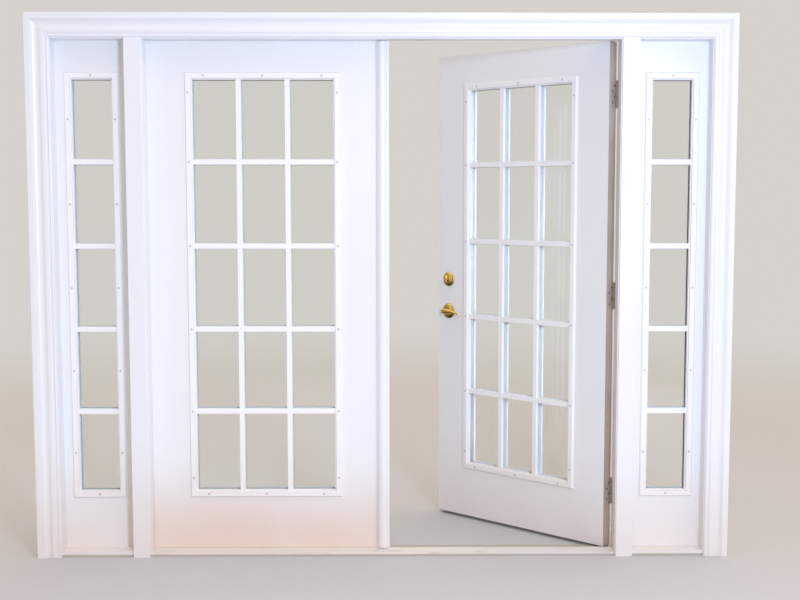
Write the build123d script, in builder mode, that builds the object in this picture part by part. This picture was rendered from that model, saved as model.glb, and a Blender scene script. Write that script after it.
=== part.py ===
from build123d import *
import os
from math import radians, tan

# Double leaf door unit with a fixed sidelite each side, in its frame. X runs along the width,
# the room is towards -Y and the outside towards +Y, Z is up. The origin is at the middle of the
# unit, on the room face of the frame, at the bottom of the sill.

# Door leaves
leaf_width = 908.0
leaf_height = 2007.0
leaf_thickness = 44.5
leaf_bottom = 14.0
edge_gap = 3.0
seal_gap = 3.0
seal_clearance = 0.3
open_angle = 45.0

# Frame
jamb_depth = 116.0
door_rabbet = 6.0
sidelite_rabbet = 16.0
mull_rabbet_width = 50.0
side_jamb_back = 19.0
head_thickness = 23.0
sill_front_height = 9.0
sill_nose_height = 4.0
sill_depth = 150.0

# Sidelites
sidelite_width = 305.0
sidelite_gap = 2.5
sidelite_stop_lip = 9.0

# Lite inserts
lite_face = 29.0
lite_proud = 9.5
lite_top_rail = 122.0
door_lite_width = 606.0
sidelite_lite_width = 212.0
lite_height = 1675.0
lite_bevel = 28.0
lite_inner_slope = 15.0
lite_return = 12.0
glass_thickness = 25.4
glass_edge_gap = 2.0
bar_width = 20.0
bar_depth = 11.0
bar_slope = 10.0
lite_rows = 5
door_lite_columns = 3

# Screw plugs of the lite inserts
plug_radius = 4.5
plug_proud = 0.9
plug_depth = 2.0
plug_inset = 50.0
plug_top_inset = 45.0
plug_clearance = 0.1

# Casing and mull covers
casing_width = 92.0
casing_thickness = 17.5
casing_reveal = 4.0
casing_side_reveal = 3.0
casing_corner = 2.5
cover_width = 65.0
cover_thickness = 11.0
cover_round = 1.5

# Casing section: distances from its outer edge with depths below its highest face
casing_steps = [(23.0, 0.0), (24.0, 1.5), (26.5, 1.5), (27.0, 3.5), (30.5, 3.5), (31.0, 5.0)]
casing_cove = [(45.0, 9.0), (58.0, 6.0)]
casing_flat = [(59.0, 4.8), (66.5, 4.0), (74.0, 4.8)]
casing_drop = [(75.0, 8.0), (82.5, 8.5)]
casing_bead = [(86.5, 5.6), (90.5, 8.5)]
casing_inner_edge = [(casing_width, 9.0)]

# Astragal on the passive leaf
astragal_stem = 19.0
astragal_overlap = 12.6
astragal_round_width = 40.6
astragal_crest = 22.0
astragal_shoulder = 9.5
astragal_strip = 8.0
astragal_top_gap = 2.0
astragal_quirk = 3.5
astragal_arc_drop = 2.0
astragal_lean = 1.5
astragal_seal_inset = 1.5

# Hinges
hinge_heights = (222.0, 1011.0, 1804.0)
hinge_length = 102.0
hinge_plate = 2.5
hinge_plate_inset = 31.0
hinge_plate_gap = 0.5
pin_offset = 5.5
knuckle_radius = 5.2
knuckle_count = 5
knuckle_gap = 0.4
pin_radius = 2.95
pin_bore = 3.0
pin_head_radius = 4.4
pin_head_height = 3.0
hinge_screw_pitch = 22.0
hinge_screw_stagger = 7.0
hinge_screw_length = 22.0
hinge_screw_radius = 2.4
hinge_screw_head = 4.1
hinge_screw_head_height = 2.2
screw_hole_clearance = 0.1

# Lever lock
lever_height = 902.0
deadbolt_rise = 140.0
backset = 60.3
rose_radius = 32.5
rose_thickness = 9.0
hub_radius = 10.5
lever_reach = 38.0
lever_length = 90.0
lever_half_height = 8.0
lever_half_depth = 5.5
lever_taper = 12.0
lever_cap_chamfer = 2.0
hub_start = 1.0
spindle_size = 8.0
cross_bore = 27.0
edge_bore = 12.7
latch_case_length = 44.0
latch_case_wall = 1.2
latch_case_gap = 0.2
latch_tail = 14.0
latch_slant = 0.85
deadbolt_tail = 4.0
latch_radius = 6.3
latch_throw = 12.0
faceplate_width = 25.4
faceplate_height = 57.0
faceplate_thickness = 2.5
deadbolt_rose_radius = 30.0
deadbolt_throw = 25.4
deadbolt_width = 14.0
deadbolt_height = 18.0
thumb_turn_length = 34.0
thumb_turn_width = 9.0
thumb_turn_reach = 16.0
thumb_hub = 7.0
thumb_hub_proud = 3.0
thumb_taper = 3.0
thumb_round = 1.5
tailpiece_width = 3.0
tailpiece_height = 6.0
cylinder_cap = 12.0
cylinder_cap_chamfer = 5.0
cylinder_plug_radius = 12.0
cylinder_plug_proud = 2.0
cylinder_body_radius = 10.0
keyway_width = 2.4
keyway_height = 9.0
keyway_depth = 7.0
strike_thickness = 2.0
strike_height = 60.0
strike_width = 28.0
pocket_clearance = 1.0
part_clearance = 0.3

# Flush bolts in the astragal
flush_radius = 4.0
flush_length = 150.0
flush_throw_top = 19.0
flush_throw_bottom = 12.0
flush_clearance = 0.5
flush_tab_offset = 8.0
flush_tab_height = 12.0
flush_tab_width = 6.0

# Lever outline: arcs by distance from the hub's axis towards the tip and height above it
lever_bow = (28.0, lever_half_height + 0.5)
lever_waist = (58.0, lever_half_height - 4.5)
lever_neck = (74.0, -2.5)
lever_tip_top = (lever_length - 4.0, -8.5)
lever_tip_end = (lever_length, -12.5)
lever_tip_bottom = (lever_length - 5.0, -14.5)
lever_heel = (72.0, -10.2)
lever_hollow = (56.0, -7.6)
lever_belly = (28.0, -lever_half_height + 0.6)
lever_arcs = [
    ((0, lever_half_height), lever_bow, lever_waist),
    (lever_waist, lever_neck, lever_tip_top),
    (lever_tip_top, lever_tip_end, lever_tip_bottom),
    (lever_tip_bottom, lever_heel, lever_hollow),
    (lever_hollow, lever_belly, (0, -lever_half_height)),
]

# Threshold, seals and sweep
bumper_lip = 4.0
bumper_depth = 68.0
bumper_front_height = 2.0
bumper_lip_width = 8.0
bumper_lip_drop = 1.5
bumper_ramp = 6.0
rib_count = 5
rib_first = 12.0
rib_pitch = 8.0
rib_width = 1.5
rib_depth = 2.0
rib_rise = 0.06
seal_round = 1.2
strip_width = 5.0
kerf_width = 1.8
kerf_depth = 8.0
sweep_width = 36.0
sweep_base = 1.5
sweep_fin = 2.0
sweep_clearance = 0.7

# Places that follow from the sizes
door_half = (2 * leaf_width + astragal_stem + 3 * edge_gap) / 2
door_stop_half = door_half - door_rabbet
leaf_top = leaf_bottom + leaf_height
leaf_room = jamb_depth - leaf_thickness
leaf_outside = jamb_depth
leaf_middle = (leaf_room + leaf_outside) / 2
stop_depth = leaf_room - seal_gap
hinge_edge = door_half - edge_gap
meeting_edge = hinge_edge - leaf_width
head_rabbet = leaf_top + edge_gap
head_stop = head_rabbet - door_rabbet
head_top = head_rabbet + head_thickness
sidelite_near = door_half + mull_rabbet_width
sidelite_far = sidelite_near + sidelite_width + 2 * sidelite_gap
sidelite_centre = (sidelite_near + sidelite_far) / 2
sidelite_stop_near = sidelite_near + sidelite_rabbet
sidelite_stop_far = sidelite_far - sidelite_rabbet
frame_half = sidelite_far + side_jamb_back
casing_inner = sidelite_stop_far + casing_side_reveal
casing_outer = casing_inner + casing_width
casing_bottom_of_head = head_stop + casing_reveal
casing_top = casing_bottom_of_head + casing_width
cover_centre = (door_stop_half + sidelite_stop_near) / 2
lite_top = leaf_top - lite_top_rail
lite_centre = lite_top - lite_height / 2
door_lite_centre = (hinge_edge + meeting_edge) / 2
glass_recess = (leaf_thickness - glass_thickness) / 2
pin_x = door_half - edge_gap / 2
pin_y = leaf_outside + pin_offset
hinge_levels = [leaf_bottom + height for height in hinge_heights]
screw_levels = [(index - 1.5) * hinge_screw_pitch for index in range(4)]
hinge_plate_width = hinge_plate_inset - hinge_plate_gap
screw_y = leaf_outside - hinge_plate_inset / 2
lock_x = meeting_edge + backset
lever_level = leaf_bottom + lever_height
deadbolt_level = lever_level + deadbolt_rise
stem_left = meeting_edge - edge_gap - astragal_stem
stem_right = stem_left + astragal_stem
stem_middle = (stem_left + stem_right) / 2
flush_top_end = leaf_top - flush_clearance
flush_bottom_end = leaf_bottom + flush_clearance

lip_top = leaf_bottom + bumper_lip
side_kerf = door_half - door_rabbet / 2
head_kerf = head_rabbet - door_rabbet / 2
bulb_end = leaf_room - seal_clearance
crest_left = stem_left - astragal_overlap
crest_right = crest_left + astragal_round_width
moulding_right = crest_right + astragal_strip
moulding_back = stop_depth - seal_clearance
shoulder = leaf_room - astragal_shoulder
moulding_top = head_stop - astragal_top_gap
moulding_bottom = lip_top + astragal_top_gap

hinge_axis = Axis((pin_x, pin_y, 0), (0, 0, 1))

os.makedirs("parts", exist_ok=True)


def block(x, y, z, mode=Mode.ADD):
    """Add a box between two values on each axis to the piece being built."""
    with Locations(((x[0] + x[1]) / 2, (y[0] + y[1]) / 2, (z[0] + z[1]) / 2)):
        Box(abs(x[1] - x[0]), abs(y[1] - y[0]), abs(z[1] - z[0]), mode=mode)


def finish(piece, name):
    """Label a finished piece and write it."""
    piece.part.label = name
    export_step(piece.part, f"parts/{name}.step")


def finish_on_active_leaf(piece, name):
    """Turn a piece of the active leaf to its open rest place, then write it."""
    with BuildPart() as swung:
        add(piece.part.rotate(hinge_axis, -open_angle))
    finish(swung, name)


def finish_leaf_piece(piece, side, name):
    """Write a piece of the passive leaf (side -1) or the active leaf (side 1)."""
    if side < 0:
        finish(piece, name + "_left")
    else:
        finish_on_active_leaf(piece, name + "_right")


def sill_height(y):
    """Top of the sill at a depth: level under the threshold, then sloping to its nose."""
    if y <= bumper_depth:
        return sill_front_height
    run = (y - bumper_depth) / (sill_depth - bumper_depth)
    return sill_front_height - run * (sill_front_height - sill_nose_height)


# Sections of the sill and the rabbeted head, drawn in depth and height
sill_outline = [
    (0, 0),
    (sill_depth, 0),
    (sill_depth, sill_nose_height),
    (bumper_depth, sill_front_height),
    (0, sill_front_height),
]
head_outline = [
    (0, head_stop),
    (stop_depth, head_stop),
    (stop_depth, head_rabbet),
    (jamb_depth, head_rabbet),
    (jamb_depth, head_top),
    (0, head_top),
]


def outward(side, x, y, z):
    """A place on one side of the unit whose local Z points away from the middle."""
    return Location((side * x, y, z), (0, 90 * side, 0))


def inward(side, x, y, z):
    """A place on one side of the unit whose local Z points to the middle."""
    return Location((side * x, y, z), (0, -90 * side, 0))


def hinge_screw_places(side, x, direction):
    """Places of the four staggered screws of each hinge plate on one side."""
    places = []
    for level in hinge_levels:
        for index, offset in enumerate(screw_levels):
            stagger = hinge_screw_stagger * (1 if index % 2 else -1)
            places.append(direction(side, x, screw_y + stagger, level + offset))
    return places


def cut_hinge_seat(side, x, direction):
    """Cut the mortises and screw pilot holes of one side's hinges."""
    deep = x + hinge_plate * (1 if direction is outward else -1)
    for level in hinge_levels:
        block(
            (side * x, side * deep),
            (leaf_outside - hinge_plate_inset, leaf_outside),
            (level - hinge_length / 2, level + hinge_length / 2),
            Mode.SUBTRACT,
        )
    with Locations(*hinge_screw_places(side, x, direction)):
        Cylinder(
            hinge_screw_radius + screw_hole_clearance,
            hinge_screw_length + 1,
            align=(Align.CENTER, Align.CENTER, Align.MIN),
            mode=Mode.SUBTRACT,
        )


def cut_kerf(side):
    """Cut the groove that holds the door weatherstrip's tongue in a post."""
    block(
        (side * (side_kerf - kerf_width / 2), side * (side_kerf + kerf_width / 2)),
        (stop_depth - kerf_depth, stop_depth),
        (sill_front_height, head_stop),
        Mode.SUBTRACT,
    )


def trim_to_sill_and_head():
    """Cut the post being built to stand on the sill and end under the head."""
    for outline in (sill_outline, head_outline):
        with BuildSketch(Plane.YZ) as section:
            with BuildLine():
                Polyline(*outline, close=True)
            make_face()
        extrude(section.sketch, amount=frame_half + 1, both=True, mode=Mode.SUBTRACT)


# Sill, with the hole that takes the lower flush bolt
with BuildPart() as sill:
    with BuildSketch(Plane.YZ):
        with BuildLine():
            Polyline(*sill_outline, close=True)
        make_face()
    extrude(amount=frame_half, both=True)
    with Locations((stem_middle, leaf_middle, 0)):
        Cylinder(flush_radius + flush_clearance, 4 * sill_front_height, mode=Mode.SUBTRACT)
finish(sill, "sill")

# Head jamb, with the hole that takes the upper flush bolt and the kerf of the head weatherstrip
with BuildPart() as head_jamb:
    with BuildSketch(Plane.YZ):
        with BuildLine():
            Polyline(*head_outline, close=True)
        make_face()
    extrude(amount=frame_half, both=True)
    with Locations((stem_middle, leaf_middle, head_rabbet)):
        Cylinder(
            flush_radius + flush_clearance,
            flush_throw_top + 1,
            align=(Align.CENTER, Align.CENTER, Align.MIN),
            mode=Mode.SUBTRACT,
        )
    block(
        (-door_stop_half, door_stop_half),
        (stop_depth - kerf_depth, stop_depth),
        (head_kerf - kerf_width / 2, head_kerf + kerf_width / 2),
        Mode.SUBTRACT,
    )
finish(head_jamb, "head_jamb")

for side, hand in ((-1, "left"), (1, "right")):
    # Mull post: rabbeted for the door on one side and for the sidelite on the other
    with BuildPart() as mull_post:
        with BuildSketch(Plane.XY):
            with BuildLine():
                Polyline(
                    (side * door_stop_half, 0),
                    (side * sidelite_stop_near, 0),
                    (side * sidelite_stop_near, stop_depth),
                    (side * sidelite_near, stop_depth),
                    (side * sidelite_near, jamb_depth),
                    (side * door_half, jamb_depth),
                    (side * door_half, stop_depth),
                    (side * door_stop_half, stop_depth),
                    close=True,
                )
            make_face()
        extrude(amount=head_top)
        trim_to_sill_and_head()
        cut_kerf(side)
        cut_hinge_seat(side, door_half, outward)
    finish(mull_post, f"mull_post_{hand}")

    # Outer side jamb, rabbeted for the sidelite
    with BuildPart() as side_jamb:
        with BuildSketch(Plane.XY):
            with BuildLine():
                Polyline(
                    (side * sidelite_stop_far, 0),
                    (side * frame_half, 0),
                    (side * frame_half, jamb_depth),
                    (side * sidelite_far, jamb_depth),
                    (side * sidelite_far, stop_depth),
                    (side * sidelite_stop_far, stop_depth),
                    close=True,
                )
            make_face()
        extrude(amount=head_top)
        trim_to_sill_and_head()
    finish(side_jamb, f"side_jamb_{hand}")

    # Flat cover board on the mull post's room face, up to the head casing
    with BuildPart() as mull_cover:
        block(
            (side * (cover_centre - cover_width / 2), side * (cover_centre + cover_width / 2)),
            (-cover_thickness, 0),
            (0, casing_bottom_of_head),
        )
        room_corners = mull_cover.edges().filter_by(Axis.Z).group_by(Axis.Y)[0]
        fillet(room_corners, cover_round)
    finish(mull_cover, f"mull_cover_{hand}")


def casing_section(plane):
    """The casing's section, from its outer edge (x) and its back (y).

    A rounded back band, fine steps, a wide cove, a raised flat and an inner bead.
    """

    def places(points):
        return [(across, casing_thickness - below) for across, below in points]

    with BuildSketch(plane) as section:
        with BuildLine():
            edge = Line((0, 0), (0, casing_thickness - casing_corner))
            corner = RadiusArc(edge @ 1, (casing_corner, casing_thickness), casing_corner)
            steps = Polyline(corner @ 1, *places(casing_steps))
            cove = ThreePointArc(steps @ 1, *places(casing_cove))
            rise = Line(cove @ 1, places(casing_flat)[0])
            flat = ThreePointArc(rise @ 1, *places(casing_flat[1:]))
            drop = Polyline(flat @ 1, *places(casing_drop))
            bead = ThreePointArc(drop @ 1, *places(casing_bead))
            Polyline(bead @ 1, *places(casing_inner_edge), (casing_width, 0), (0, 0))
        make_face()
    return section.sketch


# Side casings, mitred to the head casing at the top outer corners
left_mitre = Plane(origin=(-casing_outer, 0, casing_top), z_dir=(1, 0, 1))
right_mitre = Plane(origin=(casing_outer, 0, casing_top), z_dir=(-1, 0, 1))

with BuildPart() as casing_left:
    left_foot = Plane(origin=(-casing_outer, 0, 0), x_dir=(1, 0, 0), z_dir=(0, 0, -1))
    extrude(casing_section(left_foot), amount=-casing_top)
    split(bisect_by=left_mitre, keep=Keep.BOTTOM)
finish(casing_left, "casing_left")

with BuildPart() as casing_right:
    right_foot = Plane(origin=(casing_outer, 0, 0), x_dir=(-1, 0, 0), z_dir=(0, 0, 1))
    extrude(casing_section(right_foot), amount=casing_top)
    split(bisect_by=right_mitre, keep=Keep.BOTTOM)
finish(casing_right, "casing_right")

with BuildPart() as casing_head:
    head_middle = Plane(origin=(0, 0, casing_top), x_dir=(0, 0, -1), z_dir=(-1, 0, 0))
    extrude(casing_section(head_middle), amount=casing_outer, both=True)
    split(bisect_by=left_mitre, keep=Keep.TOP)
    split(bisect_by=right_mitre, keep=Keep.TOP)
finish(casing_head, "casing_head")

# Threshold: a ribbed saddle with a raised lip that the leaves close against
with BuildPart() as threshold_bumper:
    lip_inner = bumper_depth - bumper_lip_width
    bumper_front_top = sill_front_height + bumper_front_height
    with BuildSketch(Plane.YZ):
        with BuildLine():
            Polyline(
                (0, sill_front_height),
                (bumper_depth, sill_front_height),
                (bumper_depth, lip_top),
                (lip_inner, lip_top),
                (lip_inner - bumper_ramp, lip_top - bumper_lip_drop),
                (bumper_ramp, bumper_front_top + bumper_lip_drop),
                (0, bumper_front_top),
                close=True,
            )
        make_face()
    extrude(amount=door_stop_half, both=True)
    for rib in range(rib_count):
        groove = rib_first + rib * rib_pitch
        block(
            (-door_stop_half, door_stop_half),
            (groove, groove + rib_width),
            (lip_top - rib_depth - (bumper_depth - groove) * rib_rise, lip_top + 1),
            Mode.SUBTRACT,
        )
finish(threshold_bumper, "threshold_bumper")

# Vinyl bulb on the lip, facing the leaves
with BuildPart() as threshold_seal:
    block(
        (-door_stop_half, door_stop_half),
        (bumper_depth, bulb_end),
        (leaf_bottom + 0.5, lip_top),
    )
    fillet(threshold_seal.edges().filter_by(Axis.X).group_by(Axis.Y)[-1], seal_round)
finish(threshold_seal, "threshold_seal")

# Stops under the sidelites: a ledge in front of each slab and a shim under it
with BuildPart() as sidelite_sill_stops:
    for side in (-1, 1):
        with BuildSketch(Plane.YZ.offset(side * sidelite_centre)):
            with BuildLine():
                Polyline(
                    (0, sill_front_height),
                    (bumper_depth, sill_front_height),
                    (jamb_depth, sill_height(jamb_depth)),
                    (jamb_depth, leaf_bottom),
                    (stop_depth, leaf_bottom),
                    (stop_depth, leaf_bottom + sidelite_stop_lip),
                    (0, leaf_bottom + sidelite_stop_lip),
                    close=True,
                )
            make_face()
        extrude(amount=(sidelite_stop_far - sidelite_stop_near) / 2, both=True)
finish(sidelite_sill_stops, "sidelite_sill_stops")

# Kerf weatherstrip on both door posts and the head: a bulb with a tongue in the groove
with BuildPart() as weatherstrip:
    for side in (-1, 1):
        block(
            (side * (side_kerf - strip_width / 2), side * (side_kerf + strip_width / 2)),
            (stop_depth, bulb_end),
            (lip_top + 1, head_stop),
        )
        block(
            (side * (side_kerf - kerf_width / 2), side * (side_kerf + kerf_width / 2)),
            (stop_depth - kerf_depth, stop_depth),
            (lip_top + 1, head_stop),
        )
    block(
        (-door_stop_half, door_stop_half),
        (stop_depth, bulb_end),
        (head_kerf - strip_width / 2, head_kerf + strip_width / 2),
    )
    block(
        (-door_stop_half, door_stop_half),
        (stop_depth - kerf_depth, stop_depth),
        (head_kerf - kerf_width / 2, head_kerf + kerf_width / 2),
    )
    fillet(weatherstrip.edges().filter_by(Axis.Z).group_by(Axis.Y)[-1], seal_round)
finish(weatherstrip, "weatherstrip")


def lite_plane(face, centre, room_face):
    """The plane of a slab's room face (face -1) or outside face (face 1) at a lite's centre."""
    depth = room_face if face < 0 else room_face + leaf_thickness
    return Plane(origin=(centre, depth, lite_centre), x_dir=(-face, 0, 0), z_dir=(0, face, 0))


def lite_daylight(lite_width):
    """Width and height of the daylight inside a lite insert's rim."""
    return lite_width - 2 * lite_face, lite_height - 2 * lite_face


def lite_cutout(lite_width):
    """Width and height of the slab's cutout for a lite insert."""
    wide, high = lite_daylight(lite_width)
    return wide + 2 * lite_return, high + 2 * lite_return


def plug_places(lite_width, columns):
    """Where the screw plugs of a lite insert sit, from its centre."""
    wide, high = lite_daylight(lite_width)
    slope = (lite_proud + glass_recess) * tan(radians(lite_inner_slope))
    bevel = lite_proud * tan(radians(lite_bevel))
    out = (wide / 2 + slope + lite_width / 2 - bevel) / 2
    up = (high / 2 + slope + lite_height / 2 - bevel) / 2
    row_pitch = (high + bar_width) / lite_rows
    if columns > 1:
        bars = [(index - (lite_rows - 2) / 2) * row_pitch for index in range(lite_rows - 1)]
        heights = bars + [high / 2 - plug_inset, plug_inset - high / 2]
        across = [-wide / 2 + plug_top_inset, 0, wide / 2 - plug_top_inset]
    else:
        heights = [(index - (lite_rows - 1) / 2) * row_pitch for index in range(lite_rows)]
        across = [0]
    places = [(end * out, height) for end in (-1, 1) for height in heights]
    places += [(place, end * up) for end in (-1, 1) for place in across]
    return places


def build_lite_frame(face, centre, room_face, lite_width, columns):
    """One moulded lite frame: a bevelled rim, its return to the glass, and the glazing bars."""
    plane = lite_plane(face, centre, room_face)
    glass_plane = plane.offset(-glass_recess)
    wide, high = lite_daylight(lite_width)
    cut_wide, cut_high = lite_cutout(lite_width)
    column_pitch = (wide + bar_width) / columns
    row_pitch = (high + bar_width) / lite_rows
    narrowing = 2 * bar_depth * tan(radians(bar_slope))
    with BuildPart() as lite_frame:
        with BuildSketch(plane):
            Rectangle(lite_width, lite_height)
        extrude(amount=lite_proud, taper=lite_bevel)
        with BuildSketch(plane):
            Rectangle(cut_wide - 2 * part_clearance, cut_high - 2 * part_clearance)
        extrude(amount=-glass_recess)
        with BuildSketch(glass_plane):
            Rectangle(wide, high)
        extrude(amount=lite_proud + glass_recess, taper=-lite_inner_slope, mode=Mode.SUBTRACT)
        with BuildSketch(glass_plane):
            Rectangle(wide, high)
        extrude(amount=bar_depth, taper=-lite_inner_slope)
        with BuildSketch(glass_plane):
            with GridLocations(column_pitch, row_pitch, columns, lite_rows):
                Rectangle(column_pitch - bar_width - narrowing, row_pitch - bar_width - narrowing)
        extrude(amount=bar_depth, taper=-bar_slope, mode=Mode.SUBTRACT)
        if face < 0:
            with BuildSketch(plane.offset(lite_proud)):
                with Locations(*plug_places(lite_width, columns)):
                    Circle(plug_radius + plug_clearance)
            extrude(amount=-plug_depth, mode=Mode.SUBTRACT)
    return lite_frame


def build_plugs(centre, room_face, lite_width, columns):
    """The round plugs that hide the lite insert's screws, with softened rims."""
    seat = lite_plane(-1, centre, room_face).offset(lite_proud - plug_depth)
    with BuildPart() as plugs:
        with BuildSketch(seat):
            with Locations(*plug_places(lite_width, columns)):
                Circle(plug_radius)
        extrude(amount=plug_depth + plug_proud)
        fillet(plugs.edges().filter_by(GeomType.CIRCLE).group_by(Axis.Y)[0], plug_proud * 0.6)
    return plugs


def build_glass(centre, room_face, lite_width):
    """The sealed double pane of one lite."""
    wide, high = lite_cutout(lite_width)
    with BuildPart() as glass:
        with Locations((centre, room_face + leaf_thickness / 2, lite_centre)):
            Box(wide - 2 * glass_edge_gap, glass_thickness, high - 2 * glass_edge_gap)
    return glass


def build_slab(x, centre, room_face, lite_width):
    """A flush slab with the cutout for its lite insert."""
    wide, high = lite_cutout(lite_width)
    with BuildPart() as slab:
        block(x, (room_face, room_face + leaf_thickness), (leaf_bottom, leaf_top))
        with Locations((centre, room_face + leaf_thickness / 2, lite_centre)):
            Box(wide, leaf_thickness, high, mode=Mode.SUBTRACT)
    return slab


def finish_lite(centre, room_face, lite_width, columns, write):
    """Build and write the four kinds of piece in one panel's lite."""
    write(build_lite_frame(-1, centre, room_face, lite_width, columns), "lite_frame_room")
    write(build_lite_frame(1, centre, room_face, lite_width, columns), "lite_frame_outside")
    write(build_glass(centre, room_face, lite_width), "glass")
    write(build_plugs(centre, room_face, lite_width, columns), "screw_plugs")


# Fixed sidelites, screwed up tight to the stops of their bay
for side, hand in ((-1, "left"), (1, "right")):

    def write_sidelite(piece, name, hand=hand):
        finish(piece, f"sidelite_{name}_{hand}")

    slab_x = (side * (sidelite_near + sidelite_gap), side * (sidelite_far - sidelite_gap))
    bay_centre = side * sidelite_centre
    write_sidelite(build_slab(slab_x, bay_centre, stop_depth, sidelite_lite_width), "slab")
    finish_lite(bay_centre, stop_depth, sidelite_lite_width, 1, write_sidelite)


def cut_lock_bores():
    """Cut the cross bores and edge bores of the lever lock and the deadbolt."""
    for level in (lever_level, deadbolt_level):
        with Locations(Location((lock_x, leaf_middle, level), (90, 0, 0))):
            Cylinder(cross_bore, 2 * leaf_thickness, mode=Mode.SUBTRACT)
        with Locations(Location((meeting_edge - 1, leaf_middle, level), (0, 90, 0))):
            Cylinder(
                edge_bore,
                backset,
                align=(Align.CENTER, Align.CENTER, Align.MIN),
                mode=Mode.SUBTRACT,
            )
        block(
            (meeting_edge - 1, meeting_edge + faceplate_thickness),
            (leaf_middle - faceplate_width / 2, leaf_middle + faceplate_width / 2),
            (level - faceplate_height / 2, level + faceplate_height / 2),
            Mode.SUBTRACT,
        )


def bolt_pocket(level, width, height, reach, mode=Mode.SUBTRACT):
    """Cut the pocket that a bolt of the active leaf enters in the astragal or behind it."""
    block(
        (meeting_edge - reach - pocket_clearance, stem_right + 1),
        (leaf_middle - width / 2 - pocket_clearance, leaf_middle + width / 2 + pocket_clearance),
        (level - height / 2 - pocket_clearance, level + height / 2 + pocket_clearance),
        mode,
    )


def cut_bolt_pockets():
    """Cut both pockets of the active leaf's bolts."""
    bolt_pocket(lever_level, 2 * latch_radius, 2 * latch_radius, latch_throw)
    bolt_pocket(deadbolt_level, deadbolt_width, deadbolt_height, deadbolt_throw)


# Door leaves with their hinge seats, lites, hinges and sweeps
for side, hand in ((-1, "left"), (1, "right")):

    def write_leaf(piece, name, side=side):
        finish_leaf_piece(piece, side, f"leaf_{name}")

    leaf_x = (side * meeting_edge, side * hinge_edge)
    leaf_centre = side * door_lite_centre
    with BuildPart() as leaf_slab:
        add(build_slab(leaf_x, leaf_centre, leaf_room, door_lite_width).part)
        cut_hinge_seat(side, hinge_edge, inward)
        if side > 0:
            cut_lock_bores()
        else:
            cut_bolt_pockets()
    write_leaf(leaf_slab, "slab")
    finish_lite(leaf_centre, leaf_room, door_lite_width, door_lite_columns, write_leaf)

    # Door sweep: a strip under the slab with two fins that clear the sill
    with BuildPart() as door_sweep:
        block(
            leaf_x,
            (leaf_middle - sweep_width / 2, leaf_middle + sweep_width / 2),
            (leaf_bottom - sweep_base, leaf_bottom),
        )
        for fin in (-1, 1):
            fin_y = leaf_middle + fin * sweep_width / 3
            block(
                leaf_x,
                (fin_y - sweep_fin / 2, fin_y + sweep_fin / 2),
                (sill_height(fin_y - sweep_fin / 2) + sweep_clearance, leaf_bottom - sweep_base),
            )
    write_leaf(door_sweep, "sweep")


def knuckle_spans(first):
    """Height spans of every second knuckle of a hinge, counted from its middle."""
    step = hinge_length / knuckle_count
    low = -hinge_length / 2
    return [
        (low + index * step + knuckle_gap / 2, low + (index + 1) * step - knuckle_gap / 2)
        for index in range(first, knuckle_count, 2)
    ]


def build_hinge_plates(side, x, direction, first):
    """The three mortised plates of one side, each with its rolled knuckles."""
    sign = 1 if direction is outward else -1
    deep = x + sign * hinge_plate
    with BuildPart() as plates:
        for level in hinge_levels:
            block(
                (side * x, side * deep),
                (leaf_outside - hinge_plate_width, leaf_outside - hinge_plate_gap),
                (level - hinge_length / 2, level + hinge_length / 2),
            )
            for low, high in knuckle_spans(first):
                block(
                    (side * x, side * deep),
                    (leaf_outside - 2 * hinge_plate_gap, pin_y),
                    (level + low, level + high),
                )
                with Locations((side * pin_x, pin_y, level + (low + high) / 2)):
                    Cylinder(knuckle_radius, high - low)
        for level in hinge_levels:
            with Locations((side * pin_x, pin_y, level)):
                Cylinder(pin_bore, 2 * hinge_length, mode=Mode.SUBTRACT)
        with Locations(*hinge_screw_places(side, x, direction)):
            Cylinder(
                hinge_screw_radius + screw_hole_clearance,
                3 * hinge_plate,
                mode=Mode.SUBTRACT,
            )
            Cone(
                hinge_screw_head + screw_hole_clearance,
                hinge_screw_radius + screw_hole_clearance,
                hinge_screw_head_height,
                align=(Align.CENTER, Align.CENTER, Align.MIN),
                mode=Mode.SUBTRACT,
            )
    return plates


def build_hinge_screws(side, x, direction):
    """The countersunk screws of one row of hinge plates."""
    with BuildPart() as screws:
        with Locations(*hinge_screw_places(side, x, direction)):
            Cone(
                hinge_screw_head,
                hinge_screw_radius,
                hinge_screw_head_height,
                align=(Align.CENTER, Align.CENTER, Align.MIN),
            )
            Cylinder(
                hinge_screw_radius,
                hinge_screw_length,
                align=(Align.CENTER, Align.CENTER, Align.MIN),
            )
    return screws


for side, hand in ((-1, "left"), (1, "right")):
    finish(build_hinge_plates(side, door_half, outward, 0), f"hinge_plates_jamb_{hand}")
    leaf_plates = build_hinge_plates(side, hinge_edge, inward, 1)
    finish_leaf_piece(leaf_plates, side, "hinge_plates_leaf")
    finish_leaf_piece(build_hinge_screws(side, hinge_edge, inward), side, "hinge_screws_leaf")

with BuildPart() as hinge_screws_jamb:
    for side in (-1, 1):
        add(build_hinge_screws(side, door_half, outward).part)
finish(hinge_screws_jamb, "hinge_screws_jamb")

# Hinge pins: a rod with a button head on top and a tip below, held by the jamb knuckles
with BuildPart() as hinge_pins:
    for side in (-1, 1):
        for level in hinge_levels:
            with Locations((side * pin_x, pin_y, level)):
                Cylinder(pin_radius, hinge_length)
            with Locations((side * pin_x, pin_y, level + hinge_length / 2)):
                Cylinder(
                    pin_head_radius,
                    pin_head_height,
                    align=(Align.CENTER, Align.CENTER, Align.MIN),
                )
            with Locations((side * pin_x, pin_y, level - hinge_length / 2)):
                Cylinder(
                    pin_head_radius,
                    pin_head_height,
                    align=(Align.CENTER, Align.CENTER, Align.MAX),
                )
    rims = hinge_pins.edges().filter_by(GeomType.CIRCLE).filter_by(
        lambda rim: abs(rim.radius - pin_head_radius) < 0.01
    )
    fillet(rims, pin_head_height / 3)
finish(hinge_pins, "hinge_pins")

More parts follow.
